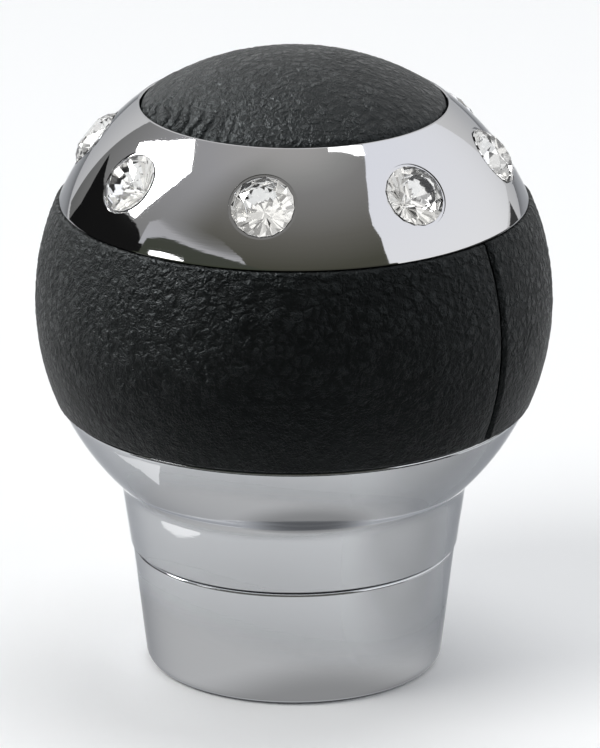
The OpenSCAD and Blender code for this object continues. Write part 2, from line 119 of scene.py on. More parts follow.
def turn_outline(outline, steps, closed=True, sweep=2 * math.pi, rise=0.0, start=0.0):
    """Turns an outline of (radius, height) points round the axis and returns the bmesh."""
    full = abs(sweep - 2 * math.pi) < 1e-6 and rise == 0
    rings = steps if full else steps + 1
    count = len(outline)
    places = []
    for i in range(rings):
        turn = start + sweep * i / steps
        lift = rise * i / steps
        places += [(r * math.cos(turn), r * math.sin(turn), z + lift) for r, z in outline]
    faces = []
    for i in range(steps):
        here = i * count
        there = (i + 1) % rings * count
        for j in range(count if closed else count - 1):
            k = (j + 1) % count
            faces.append((here + j, there + j, there + k, here + k))
    if not full:
        faces += [range(count), range(steps * count, (steps + 1) * count)]
    mesh = bpy.data.meshes.new("turned")
    mesh.from_pydata(places, [], faces)
    bm = bmesh.new()
    bm.from_mesh(mesh)
    bpy.data.meshes.remove(mesh)
    bmesh.ops.remove_doubles(bm, verts=bm.verts[:], dist=1e-8)
    bmesh.ops.recalc_face_normals(bm, faces=bm.faces[:])
    return bm


def carve(piece, *cutters):
    """Cuts the cutters out of a piece and deletes them."""
    for cutter in cutters:
        cut = piece.modifiers.new("cut", "BOOLEAN")
        cut.operation = "DIFFERENCE"
        cut.solver = "EXACT"
        cut.object = cutter
    bpy.context.view_layer.update()
    carved = piece.evaluated_get(bpy.context.evaluated_depsgraph_get())
    mesh = bpy.data.meshes.new_from_object(carved)
    piece.modifiers.clear()
    piece.data = mesh
    for cutter in cutters:
        bpy.data.objects.remove(cutter)


def node_group(name, inputs, outputs):
    """A shader group with sockets given as (name, kind, default), and its two end nodes."""
    group = bpy.data.node_groups.new(name, "ShaderNodeTree")
    for label, kind, default in inputs:
        socket = group.interface.new_socket(label, in_out="INPUT", socket_type=kind)
        if default is not None:
            socket.default_value = default
    for label, kind in outputs:
        group.interface.new_socket(label, in_out="OUTPUT", socket_type=kind)
    return group, group.nodes.new("NodeGroupInput"), group.nodes.new("NodeGroupOutput")


def feed(tree, node, sockets):
    """Gives sockets of a node their values or, as (node, output), links from other nodes."""
    for socket, value in sockets.items():
        if isinstance(value, tuple) and isinstance(value[0], bpy.types.Node):
            tree.links.new(value[0].outputs[value[1]], node.inputs[socket])
        else:
            node.inputs[socket].default_value = value


def add(tree, kind, sockets=None, **settings):
    """A new shader node with its settings and with values or links for its sockets."""
    node = tree.nodes.new("ShaderNode" + kind)
    for name, value in settings.items():
        setattr(node, name, value)
    feed(tree, node, sockets or {})
    return node


def calc(tree, operation, *values, **settings):
    """The result of a new maths node that works on values or links."""
    return add(tree, "Math", dict(enumerate(values)), operation=operation, **settings), "Value"


def new_material(name):
    """A material with its tree and its Principled shader."""
    material = bpy.data.materials.new(name)
    material.use_nodes = True
    return material, material.node_tree, material.node_tree.nodes["Principled BSDF"]


def paint(piece, *materials):
    """Gives a piece these materials in place of its own."""
    piece.data.materials.clear()
    for material in materials:
        piece.data.materials.append(material)


def make_plating_group():
    """Chrome plating: a faint cloudiness, hairline polishing marks and a little unevenness."""
    group, start, end = node_group(
        "plating",
        [("Vector", "NodeSocketVector", None), ("Gloss", "NodeSocketFloat", 0.03),
         ("Cloud", "NodeSocketFloat", 0.04), ("Marks", "NodeSocketFloat", 0.02)],
        [("Roughness", "NodeSocketFloat"), ("Normal", "NodeSocketVector")])
    place = (start, "Vector")
    cloud = add(group, "TexNoise", {"Vector": place, "Scale": 180.0, "Detail": 4.0})
    stretch = add(group, "Mapping", {"Vector": place, "Scale": (1.0, 1.0, 14.0)})
    hairlines = add(group, "TexNoise", {
        "Vector": (stretch, "Vector"), "Scale": 320.0, "Detail": 2.0})
    swell = add(group, "TexNoise", {"Vector": place, "Scale": 60.0, "Detail": 1.0})
    spread = calc(group, "MULTIPLY_ADD", (cloud, "Fac"), (start, "Cloud"), (start, "Gloss"))
    height = calc(group, "MULTIPLY_ADD", (hairlines, "Fac"), (start, "Marks"), (swell, "Fac"))
    bump = add(group, "Bump", {"Distance": 0.00002, "Strength": 0.25, "Height": height})
    feed(group, end, {"Roughness": spread, "Normal": (bump, "Normal")})
    return group


plating = make_plating_group()


def chrome(name, colour, gloss, cloud, marks):
    """Polished chrome over zinc with its tint, gloss and marks, a little dull at grazing angles."""
    material, tree, shader = new_material(name)
    finish = add(tree, "Group", {
        "Vector": (add(tree, "TexCoord"), "Object"),
        "Gloss": gloss, "Cloud": cloud, "Marks": marks}, node_tree=plating)
    feed(tree, shader, {
        "Base Color": (*colour, 1), "Metallic": 1.0, "Specular Tint": (0.55, 0.56, 0.58, 1),
        "Roughness": (finish, "Roughness"), "Normal": (finish, "Normal")})
    return material


def neck_fillet_centre():
    """Centre of the hollow fillet that touches the sloped neck and the ball."""
    along = Vector((math.sin(neck_slope), math.cos(neck_slope)))
    away = Vector((math.cos(neck_slope), -math.sin(neck_slope)))
    first = Vector((neck_r, seam_z)) + neck_fillet_r * away - Vector((0, ball_centre.z))
    reach = shell_r + neck_fillet_r
    middle = first.dot(along)
    step = -middle - math.sqrt(middle ** 2 - first.dot(first) + reach ** 2)
    return first + step * along + Vector((0, ball_centre.z))


def bell_outline():
    """The casting's section, from the stem's mouth up the outside and down the hollow inside."""
    fillet = neck_fillet_centre()
    contact = math.atan2(fillet.y - ball_centre.z, fillet.x)
    rim_edge = 0.35 * MM
    rim_z = shoulder_h + rim_edge
    rim_r = math.sqrt((shell_r - rim_edge) ** 2 - rim_z ** 2)
    rim_turn = -math.atan2(rim_z, rim_r)
    wall = 2.2 * MM
    throat_r = neck_r - wall
    throat_edge = 0.2 * MM
    hollow_r = shell_r - wall
    floor_z = seam_z + 3.2 * MM
    shoulder_z = ball_centre.z - shoulder_h
    mouth_edge = 0.6 * MM
    seam_edge = 0.25 * MM
    return (
        [(socket_bore_r, stem_end_z),
         (stem_r - mouth_edge, stem_end_z),
         (stem_r, stem_end_z + mouth_edge),
         (stem_r, seam_z - land_h),
         (land_r, seam_z - land_h + (land_r - stem_r)),
         (land_r, seam_z)]
        + arc((neck_r - seam_edge, seam_z + seam_edge), seam_edge, -math.pi / 2, -neck_slope, 5)
        + arc(fillet, neck_fillet_r, math.pi - neck_slope, math.pi + contact, 24)
        + arc((0, ball_centre.z), shell_r, contact, rim_turn, 24)[1:-1]
        + arc((rim_r, ball_centre.z - rim_z), rim_edge, rim_turn, math.pi / 2, 10)
        + [(tongue_out_r, shoulder_z),
           (tongue_out_r, shoulder_z + tongue_h),
           (tongue_in_r, shoulder_z + tongue_h)]
        + arc((0, ball_centre.z), hollow_r,
              -math.acos(tongue_in_r / hollow_r), -math.acos(throat_r / hollow_r), 10)
        + [(throat_r - throat_edge, floor_z),
           (socket_r, floor_z),
           (socket_r, socket_roof_z),
           (0, socket_roof_z),
           (0, socket_top_z),
           (socket_bore_r, socket_top_z)])


def drill(angle, radius, near, far, height):
    """A round cutter that lies across the axis at an angle, from near to far."""
    bm = bmesh.new()
    bmesh.ops.create_cone(
        bm, cap_ends=True, segments=48, radius1=radius, radius2=radius, depth=far - near)
    bmesh.ops.translate(bm, verts=bm.verts[:], vec=(0, 0, (near + far) / 2))
    for turn, axis in ((math.pi / 2, "Y"), (angle, "Z")):
        bmesh.ops.rotate(
            bm, verts=bm.verts[:], cent=(0, 0, 0), matrix=Matrix.Rotation(turn, 3, axis))
    bmesh.ops.translate(bm, verts=bm.verts[:], vec=(0, 0, height))
    return finish_mesh(bm, "cutter")


def set_screw_drills():
    """Cutters for the three set screw holes."""
    turns = [math.radians(90 + 120 * i) for i in range(3)]
    return [drill(turn, set_screw_hole_r, *set_screw_hole_ends, set_screw_z) for turn in turns]


def thread_ridge(name, root_r, crest_r, low, high):
    """A right-hand thread ridge that winds up from low to high."""
    crest = 0.19 * MM
    base = crest + 2 * abs(crest_r - root_r) * math.tan(math.radians(30))
    sink = 0.05 * MM * (1 if root_r > crest_r else -1)
    turns = (high - low) / thread_pitch
    turn_steps = 120
    profile = [
        (root_r + sink, low - base / 2), (root_r, low - base / 2), (crest_r, low - crest / 2),
        (crest_r, low + crest / 2), (root_r, low + base / 2), (root_r + sink, low + base / 2)]
    bm = turn_outline(
        profile, round(turns * turn_steps), sweep=2 * math.pi * turns, rise=high - low)
    return finish_mesh(bm, name)


bell = finish_mesh(turn_outline(bell_outline(), turned_steps), "bell_casting")
carve(bell, *set_screw_drills())
stem_thread = thread_ridge(
    "stem_thread", stem_r, stem_thread_r, stem_end_z + 1.1 * MM, seam_z - land_h - 0.6 * MM)
carve(stem_thread, *set_screw_drills())
bell_chrome = chrome("bell_chrome", (0.565, 0.575, 0.59), 0.03, 0.04, 0.4)
for piece in (bell, stem_thread):
    paint(piece, bell_chrome)
    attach(piece, "knob")
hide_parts("bell_housing")


# Set screws: three blackened steel grub screws that clamp the sleeve on the lever.
# Each has a cone point and a hexagon socket, and they are hidden once the collar is screwed up.


def speckled(name, scale, roughness, sockets):
    """A material with these sockets, whose roughness wanders between two values with fine noise."""
    material, tree, shader = new_material(name)
    noise = add(tree, "TexNoise", {"Vector": (add(tree, "TexCoord"), "Object"), "Scale": scale})
    wander = add(tree, "MapRange", {
        "Value": (noise, "Fac"), "To Min": roughness[0], "To Max": roughness[1]})
    feed(tree, shader, {**sockets, "Roughness": (wander, "Result")})
    return material


black_steel = speckled("black_steel", 900.0, (0.3, 0.5), {
    "Base Color": (0.045, 0.046, 0.05, 1), "Metallic": 1.0})
paint(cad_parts["set_screws"], black_steel)


# Adapter sleeve: a split tube of dark moulded plastic between the socket and the lever.
# It comes in several bores, and this one takes a 10 mm lever.
moulded = speckled("moulded_plastic", 2500.0, (0.42, 0.6), {"Base Color": (0.03, 0.03, 0.032, 1)})
moulded_tree = moulded.node_tree
moulded_bump = add(moulded_tree, "Bump", {
    "Distance": 0.00002, "Height": (moulded_tree.nodes["Noise Texture"], "Fac")})
feed(moulded_tree, moulded_tree.nodes["Principled BSDF"], {"Normal": (moulded_bump, "Normal")})
paint(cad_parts["adapter_sleeve"], moulded)


# Core drum and cap plate: black moulded plastic inside the ball, hidden in use.
# The core carries the band and the ring, and the plate snaps in under the leather cap.
for node in ("core_drum", "cap_plate"):
    paint(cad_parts[node], moulded)


# Core screws and ring screws: zinc-plated self-tapping screws with pan heads.
# They hold the core on the bell and the ring on the core, all from above.
zinc_steel = speckled("zinc_steel", 500.0, (0.22, 0.4), {"Metallic": 1.0})
zinc_tree = zinc_steel.node_tree
zinc_ramp = add(zinc_tree, "ValToRGB", {"Fac": (zinc_tree.nodes["Noise Texture"], "Fac")})
zinc_ramp.color_ramp.elements[0].color = (0.42, 0.43, 0.46, 1)
zinc_ramp.color_ramp.elements[1].color = (0.62, 0.62, 0.6, 1)
feed(zinc_tree, zinc_tree.nodes["Principled BSDF"], {"Base Color": (zinc_ramp, "Color")})
for node in ("core_screws", "ring_screws"):
    paint(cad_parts[node], zinc_steel)


# Leather band: one strip of black grained leather, 1.2 mm thick, glued round the core.
# Its ends are butted at a single upright seam, and its edges lie tight against the chrome.
band_t = 1.2 * MM
band_edge_h = ball_r * math.sin(math.radians(23.35))
band_edge_r = 0.4 * MM
band_seam_turn = math.radians(53 - 90)
band_seam_gap = 0.15 * MM
band_steps = 760
band_rows = 100
grain_depth = 0.2 * MM
leather_crease = math.radians(60)
band_seam_dip = 0.3 * MM
band_seam_dip_w = 0.55 * MM
band_lap_dip = 0.1 * MM
band_lap_dip_w = 2.2 * MM


def smooth_step(low, high, value):
    """0 below low, 1 above high, and a smooth rise between them."""
    share = np.clip((value - low) / (high - low), 0.0, 1.0)
    return share * share * (3 - 2 * share)


def scatter(cell, seed):
    """A number from 0 to 1 for each whole-numbered cell, always the same for the same seed."""
    mixed = (cell @ np.array((374761393, 668265263, 1274126177)) + seed * 974711) & 0xFFFFFFFF
    mixed = ((mixed ^ (mixed >> 13)) * 1103515245) & 0xFFFFFFFF
    return ((mixed ^ (mixed >> 16)) & 0xFFFFFF) / 0xFFFFFF


def waves(at, seed):
    """Smooth noise from 0 to 1, with cells one unit wide."""
    low = np.floor(at).astype(np.int64)
    share = smooth_step(0.0, 1.0, at - low)
    total = 0.0
    for corner in itertools.product((0, 1), repeat=3):
        weight = np.prod(np.where(corner, share, 1 - share), axis=1)
        total = total + weight * scatter(low + corner, seed)
    return total


def bent(at, reach, size, seed):
    """Places moved by up to half the reach, so that cells and lines wander."""
    return at + reach * (np.stack([waves(at / size, seed + i) for i in range(3)], axis=1) - 0.5)


def borders(at, seed):
    """How far each place is from the border of its cell: 0 on the border, about 1 at the middle."""
    low = np.floor(at).astype(np.int64)
    first = np.full(len(at), 9.0)
    second = first.copy()
    for corner in itertools.product((-1, 0, 1), repeat=3):
        cell = low + corner
        point = cell + np.stack([scatter(cell, seed + i) for i in range(3)], axis=1)
        reach = np.linalg.norm(point - at, axis=1)
        second = np.minimum(second, np.maximum(first, reach))
        first = np.minimum(first, reach)
    return second - first


def leather_grain(at, bold):
    """Height of the leather at places in millimetres, from 0 in its creases to 1 on its pebbles."""
    loose = bent(at, 1.3, 1.4, 10)
    pebble = smooth_step(0.0, 0.4, borders(loose * 0.95, 20))
    fold = smooth_step(0.0, 0.1, borders(bent(at, 3.0, 3.0, 40) * 0.3, 50))
    dome = waves(at * 1.6, 60)
    patch = smooth_step(0.3, 0.75, waves(at / 6.0, 70))
    rough = bold * (0.55 + 0.45 * patch)
    return 1 - rough * (0.26 * (1 - pebble) + 0.32 * (1 - fold)) - 0.22 * (1 - dome)


def emboss(piece, centre, pressed):
    """Presses a leather piece in towards a centre and keeps its grain for the material."""
    mesh = piece.data
    places = np.empty(len(mesh.vertices) * 3, np.single)
    mesh.vertices.foreach_get("co", places)
    places = places.reshape(-1, 3)
    away = places - np.array(centre)
    away /= np.linalg.norm(away, axis=1)[:, None]
    grain, bold, depth = pressed(places)
    places -= (away * depth[:, None]).astype(np.single)
    mesh.vertices.foreach_set("co", places.ravel())
    for label, values in (("grain", grain), ("bold", bold)):
        kept = mesh.attributes.new(label, "FLOAT", "POINT")
        kept.data.foreach_set("value", values.astype(np.single))
    mesh.update()


def make_hide_group():
    """Finish of the hide: round pebbles, smaller ones and a wrinkle on top, with painted shade
    darkening the creases.
    """
    group, start, end = node_group(
        "hide",
        [("Vector", "NodeSocketVector", None), ("Grain", "NodeSocketFloat", 0.5),
         ("Bold", "NodeSocketFloat", 0.5), ("Crease_Shade", "NodeSocketColor", (0.004, 0.005, 0.005, 1)),
         ("Top_Tone", "NodeSocketColor", (0.02, 0.022, 0.023, 1)),
         ("Gloss", "NodeSocketFloat", 0.4), ("Matt", "NodeSocketFloat", 0.65)],
        [("Color", "NodeSocketColor"), ("Roughness", "NodeSocketFloat"),
         ("Height", "NodeSocketFloat"), ("Top", "NodeSocketFloat")])
    place = (start, "Vector")
    bold = (start, "Bold")
    drift = add(group, "TexNoise", {
        "Vector": place, "Scale": 600.0, "Detail": 4.0, "Roughness": 0.68})
    gape = add(group, "MapRange", {
        "Value": (drift, "Fac"),
        "From Min": 0.36, "From Max": 0.62, "To Min": 0.12, "To Max": 0.62})
    bend = add(group, "VectorMath", {
        0: (drift, "Color"), 1: (0.0015, 0.0015, 0.0015), 2: place}, operation="MULTIPLY_ADD")
    tops = []
    for scale in (860.0, 2700.0):
        cells = add(group, "TexVoronoi", {
            "Vector": (bend, "Vector"), "Scale": scale}, feature="DISTANCE_TO_EDGE")
        tops.append(add(group, "MapRange", {
            "Value": (cells, "Distance"), "From Max": (gape, "Result")},
            interpolation_type="SMOOTHSTEP"))
    wrinkle = add(group, "TexNoise", {"Vector": place, "Scale": 1500.0, "Detail": 5.0})
    blotch = add(group, "TexNoise", {"Vector": place, "Scale": 160.0, "Detail": 3.0})
    flat = calc(group, "SUBTRACT", 1.0, bold)
    pebble = calc(group, "MULTIPLY_ADD", (tops[0], "Result"), bold, flat)
    fine = calc(group, "MULTIPLY_ADD", (tops[1], "Result"), 0.35, pebble)
    height = calc(group, "MULTIPLY_ADD", (wrinkle, "Fac"), 0.6, fine)
    shade = add(group, "MapRange", {"Value": (start, "Grain"), "From Min": 0.2, "From Max": 0.8})
    patch = calc(group, "MULTIPLY_ADD", (blotch, "Fac"), 0.45, 0.75)
    top_tone = calc(group, "MULTIPLY", (shade, "Result"), patch)
    # Creases darker, tops paler: painted shade in the creases.
    lift = calc(group, "MULTIPLY", top_tone, pebble, use_clamp=True)
    tint = add(group, "Mix", {
        "Factor": lift, "A": (start, "Crease_Shade"), "B": (start, "Top_Tone")}, data_type="RGBA")
    rough = add(group, "MapRange", {
        "Value": lift, "To Min": (start, "Matt"), "To Max": (start, "Gloss")})
    feed(group, end, {
        "Color": (tint, "Result"), "Roughness": (rough, "Result"), "Height": height, "Top": lift})
    return group


hide = make_hide_group()


def leather(name, crease_shade, top_tone, gloss, matt, shine):
    """Black grained leather whose creases are painted darker and reflect less, as painted shade,
    and whose tops are paler and shinier.
    """
    material, tree, shader = new_material(name)
    grain, bold = [add(tree, "Attribute", attribute_name=label) for label in ("grain", "bold")]
    finish = add(tree, "Group", {
        "Vector": (add(tree, "TexCoord"), "Object"), "Grain": (grain, "Fac"), "Bold": (bold, "Fac"),
        "Crease_Shade": (*crease_shade, 1), "Top_Tone": (*top_tone, 1), "Gloss": gloss, "Matt": matt}, node_tree=hide)
    gleam = add(tree, "MapRange", {
        "Value": (finish, "Top"), "To Min": shine * 0.75, "To Max": shine})
    # The sheen is dimmed where the grain is least bold, low on the band: painted shade.
    sheen_shade = add(tree, "MapRange", {"Value": (bold, "Fac"), "To Min": 0.25})
    sheen = calc(tree, "MULTIPLY", (gleam, "Result"), (sheen_shade, "Result"))
    bump = add(tree, "Bump", {"Distance": 0.00018, "Strength": 0.9, "Height": (finish, "Height")})
    feed(tree, shader, {
        "Base Color": (finish, "Color"), "Roughness": (finish, "Roughness"),
        "Normal": (bump, "Normal"), "Specular IOR Level": sheen,
        "Specular Tint": (0.88, 0.98, 1.0, 1)})
    return material


def band_outline():
    """Section of the strip: grained outside, rolled cut edges and the flat inside."""
    middle_z = band_edge_h - band_edge_r
    middle_r = math.sqrt((ball_r - band_edge_r) ** 2 - middle_z ** 2)
    roll = math.atan2(middle_z, middle_r)
    inner_r = ball_r - band_t
    inner = math.asin(band_edge_h / inner_r)
    centre_z = ball_centre.z
    return (
        arc((middle_r, centre_z - middle_z), band_edge_r, -math.pi / 2, -roll, 5)
        + arc((0, centre_z), ball_r, -roll, roll, band_rows)[1:-1]
        + arc((middle_r, centre_z + middle_z), band_edge_r, roll, math.pi / 2, 5)
        + arc((0, centre_z), inner_r, inner, -inner, 6))


def band_pressed(places):
    """Grain of the band and its pressed depth, bolder towards the top, with a dip at the seam."""
    reach = np.linalg.norm(places - np.array(ball_centre), axis=1)
    skin = smooth_step(ball_r - 0.75 * MM, ball_r - 0.3 * MM, reach)
    # The boldness is least low on the band, where it also dims the sheen as painted shade.
    bold = 0.3 + 0.7 * smooth_step(-7.0, 5.0, (places[:, 2] - ball_centre.z) / MM)
    grain = leather_grain(places / MM * (1, 1, 1.15), bold)
    turn = np.arctan2(places[:, 1], places[:, 0]) - band_seam_turn
    turn = (turn + math.pi) % (2 * math.pi) - math.pi
    past = np.abs(turn) * ball_r
    dip = band_seam_dip * (1 - smooth_step(0.0, band_seam_dip_w, past))
    dip += band_lap_dip * (1 - smooth_step(0.2 * MM, band_lap_dip_w, past)) * (turn < 0)
    return grain, bold, skin * (grain_depth * (1 - grain) + dip)


seam_half = band_seam_gap / 2 / ball_r
band_turned = turn_outline(
    band_outline(), band_steps, sweep=2 * math.pi - 2 * seam_half, start=band_seam_turn + seam_half)
band = finish_mesh(band_turned, "band_leather", leather_crease)
emboss(band, ball_centre, band_pressed)
paint(band, leather(
    "band_leather", (0.001, 0.0012, 0.0013), (0.003, 0.0038, 0.004), 0.38, 0.56, 0.33))
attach(band, "knob")
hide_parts("leather_band")


# Crystal ring: the chromed upper zone of the ball, cast in zinc and held by three hidden screws.
# Eight seats are sunk in it on one line, each with a straight mouth, a rolled edge and a cone.
# The seats are painted dark inside, as painted shade, which shows as the thin dark line round each
# stone.
rim_angle = math.radians(52.7)
stone_count = 8
stone_angle = math.radians(38.3)
stone_turn = math.radians(-8.7 - 90)
table_proud_mm = 0.85
stone_crown_mm = 1.0
stone_girdle_r = shell_r + (table_proud_mm - stone_crown_mm) * MM
seat_r = 3.55 * MM
seat_roll = 0.26 * MM
seat_step = (3.24 * MM, -0.21 * MM)
seat_tip = (0.06 * MM, -2.87 * MM)
seat_cutter_top = 3 * MM
seat_shade_r = seat_r + 0.02 * MM
seat_shade_low = -3 * MM
seat_shade_high = shell_r - stone_girdle_r - 0.45 * MM


def ring_outline():
    """Section of the ring, from the tongue round the outside to the recess for the cap."""
    edge_r = math.sqrt(shell_r ** 2 - shoulder_h ** 2)
    low = ball_centre.z + shoulder_h
    rim_r = shell_r * math.cos(rim_angle)
    rim_z = ball_centre.z + shell_r * math.sin(rim_angle)
    rim_edge = 0.06 * MM
    top_z = rim_z - 0.005 * MM
    recess_r = rim_r - 0.23 * MM
    ledge_r = recess_r - 1.85 * MM
    ledge_z = rim_z - 2.8 * MM
    ledge_low = ledge_z - 1.6 * MM
    hollow_r = ledge_r + 1.9 * MM
    floor_r = 9.7 * MM
    floor_z = low + 2.0 * MM
    start = math.asin((shoulder_h + 0.15 * MM) / shell_r)
    stop = rim_angle - rim_edge / shell_r
    return (
        [(tongue_in_r, low), (tongue_in_r, low - tongue_h),
         (tongue_out_r, low - tongue_h), (tongue_out_r, low),
         (edge_r - 0.12 * MM, low), (edge_r - 0.04 * MM, low + 0.03 * MM)]
        + arc((0, ball_centre.z), shell_r, start, stop, 40)
        + [(rim_r - rim_edge, top_z), (recess_r + rim_edge, top_z),
           (recess_r, rim_z - rim_edge), (recess_r, ledge_z), (ledge_r, ledge_z),
           (ledge_r, ledge_low), (hollow_r, ledge_low),
           (hollow_r, floor_z), (floor_r, floor_z), (floor_r, low)])


def stone_matrix(index):
    """Place of a stone, with its girdle at the origin and its table up before it is moved."""
    turn = Matrix.Rotation(stone_turn + 2 * math.pi * index / stone_count, 4, "Z")
    tilt = Matrix.Rotation(math.pi / 2 - stone_angle, 4, "Y")
    out = Matrix.Translation((0, 0, stone_girdle_r))
    return Matrix.Translation(ball_centre) @ turn @ tilt @ out


def seat_cutter(index):
    """Cutter of a seat: cone, step, straight mouth and a rolled edge that opens to the surface."""
    surface = shell_r - stone_girdle_r
    mouth_r = seat_r + 2 * seat_roll
    flare = [(seat_r + seat_roll * (1 - math.cos(a)), surface - seat_roll + seat_roll * math.sin(a))
             for a in [math.pi / 2 * i / 6 for i in range(7)]]
    outline = (
        [(0, seat_tip[1]), seat_tip, seat_step, (seat_r, seat_step[1])]
        + flare
        + [(mouth_r, surface + 0.1 * MM), (mouth_r, seat_cutter_top), (0, seat_cutter_top)])
    bm = turn_outline(outline, 72)
    bm.transform(stone_matrix(index))
    return finish_mesh(bm, "cutter")


def round_normals(piece, centre, radius):
    """Gives the faces that lie on a sphere the sphere's own normals, so that mirrors stay even."""
    mesh = piece.data
    nearness = 0.004 * MM
    normals = [corner.vector.copy() for corner in mesh.corner_normals]
    for face in mesh.polygons:
        places = [mesh.vertices[v].co for v in face.vertices]
        if all(abs((place - centre).length - radius) < nearness for place in places):
            for corner, place in zip(face.loop_indices, places):
                normals[corner] = (place - centre).normalized()
    mesh.normals_split_custom_set(normals)


ring = finish_mesh(turn_outline(ring_outline(), turned_steps), "crystal_ring_casting")
carve(ring, *[seat_cutter(i) for i in range(stone_count)])
round_normals(ring, ball_centre, shell_r)
# Dark paint inside the seats: painted shade round the stones.
seat_shade = speckled("seat_shade", 900.0, (0.25, 0.5), {"Base Color": (0.02, 0.02, 0.022, 1)})
paint(ring, chrome("ring_chrome", (0.56, 0.56, 0.565), 0.02, 0.03, 0.3), seat_shade)
stone_places = [stone_matrix(i).inverted() for i in range(stone_count)]
for face in ring.data.polygons:
    for inward in stone_places:
        place = inward @ face.center
        if math.hypot(place.x, place.y) < seat_shade_r and seat_shade_low < place.z < seat_shade_high:
            face.material_index = 1
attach(ring, "knob")
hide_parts("crystal_ring")


# Crystals: round brilliant-cut glass stones, 6.5 mm across, glued in the seats.
# Their crowns are clear and their pointed backs are silvered, which throws the light back out.
clear_glass = speckled("stone_glass", 700.0, (0.0, 0.02), {
    "Base Color": (0.98, 0.99, 1.0, 1), "Transmission Weight": 1.0, "IOR": 1.56})
foil = speckled("stone_foil", 1200.0, (0.02, 0.1), {
    "Base Color": (0.93, 0.92, 0.9, 1), "Metallic": 1.0})


def brilliant(index):
    """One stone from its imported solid, with whole facets and a silvered back."""
    node = f"crystal_{index + 1}"
    outward = stone_matrix(index).to_3x3() @ Vector((0, 0, 1))
    bm = bmesh.new()
    bm.from_mesh(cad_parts[node].data)
    bmesh.ops.remove_doubles(bm, verts=bm.verts[:], dist=1e-6)
    bmesh.ops.dissolve_limit(
        bm, angle_limit=math.radians(0.8), verts=bm.verts[:], edges=bm.edges[:])
    for face in bm.faces:
        face.smooth = False
        face.material_index = 1 if face.normal.dot(outward) < -0.2 else 0
    mesh = bpy.data.meshes.new(f"stone_{index + 1}")
    bm.to_mesh(mesh)
    bm.free()
    mesh.materials.append(clear_glass)
    mesh.materials.append(foil)
    stone = bpy.data.objects.new(f"stone_{index + 1}", mesh)
    bpy.context.scene.collection.objects.link(stone)
    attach(stone, "knob")
    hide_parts(node)


for stone_index in range(stone_count):
    brilliant(stone_index)


# Leather cap: a disc of the same hide drawn over a plastic plate and turned in under its edge.
# The recess of the ring grips it, and the hide wrinkles where it is pulled over the edge.
cap_t = 1.1 * MM
cap_edge_r = 1.6 * MM
cap_top_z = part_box("leather_cap")[1].z
cap_foot_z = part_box("leather_cap")[0].z
cap_r = shell_r * math.cos(rim_angle) - 0.33 * MM
cap_rise = 4.9 * MM
cap_turned_in = 1.85 * MM
pucker_depth = 0.3 * MM
pucker_pitch_mm = 1.5
dome_r = (cap_r ** 2 + cap_rise ** 2) / (2 * cap_rise)
dome_centre = Vector((0, 0, cap_top_z - dome_r))


def cap_outline():
    """Section of the cap: crown, rolled edge, side and the turned-in edge, then its inside."""
    fold_r = cap_t * 0.6
    middle_r = cap_r - cap_edge_r
    middle_z = dome_centre.z + math.sqrt((dome_r - cap_edge_r) ** 2 - middle_r ** 2)
    roll = math.atan2(middle_z - dome_centre.z, middle_r)
    lip_r = cap_r - cap_turned_in
    crown = arc((0, dome_centre.z), dome_r, math.pi / 2, roll, 84)
    return (
        [(0, cap_top_z)] + crown[1:]
        + arc((middle_r, middle_z), cap_edge_r, roll, 0, 14)[1:]
        + arc((cap_r - fold_r, cap_foot_z + fold_r), fold_r, 0, -math.pi / 2, 5)
        + [(lip_r, cap_foot_z), (lip_r, cap_foot_z + cap_t), (cap_r - cap_t, cap_foot_z + cap_t)]
        + arc((middle_r, middle_z), cap_edge_r - cap_t, 0, roll, 5)
        + arc((0, dome_centre.z), dome_r - cap_t, roll, math.pi / 2, 12)[1:-1]
        + [(0, cap_top_z - cap_t)])


def cap_pressed(places):
    """Grain of the cap and its pressed depth, with puckers where the hide goes over the edge."""
    away = places - np.array(dome_centre)
    low = cap_foot_z + 1.5 * MM
    skin = smooth_step(dome_r - 0.75 * MM, dome_r - 0.35 * MM, np.linalg.norm(away, axis=1))
    skin *= smooth_step(low, low + 1 * MM, places[:, 2])
    bold = np.full(len(places), 0.75)
    grain = leather_grain(places / MM * (1.1, 1.1, 1.0), bold)
    out = np.hypot(places[:, 0], places[:, 1])
    turn = np.degrees(np.arctan2(places[:, 0], -places[:, 1]))
    gathered = smooth_step(-85, -65, turn) * (1 - smooth_step(-38, -18, turn)) + 0.1
    across = (places[:, 0] * 0.92 - places[:, 1] * 0.4) / MM + 1.6 * waves(places / MM / 2.5, 80)
    pucker = (0.5 + 0.5 * np.sin(across * 2 * math.pi / pucker_pitch_mm)) ** 3
    pucker *= gathered * smooth_step(cap_r - 4.5 * MM, cap_r - 0.8 * MM, out)
    depth = grain_depth * (1 - grain) + pucker_depth * pucker
    # Lowering the grain in the puckers darkens their grooves: painted shade.
    return np.clip(grain - 0.6 * pucker, 0, 1), bold, skin * depth


cap = finish_mesh(turn_outline(cap_outline(), 620, closed=False), "cap_leather", leather_crease)
emboss(cap, dome_centre, cap_pressed)
paint(cap, leather(
    "cap_leather", (0.0012, 0.0014, 0.0016), (0.004, 0.0046, 0.0052), 0.34, 0.54, 0.47))
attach(cap, "knob")
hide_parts("leather_cap")


# Collar washer: a matt black rubber ring that lies in the groove on top of the collar.
# It keeps the collar from rattling, and it shows as the dark line under the neck.
washer_low, washer_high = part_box("collar_washer")
washer_in_r = 14.25 * MM
washer_out_r = 15.75 * MM
washer_round = 0.2 * MM


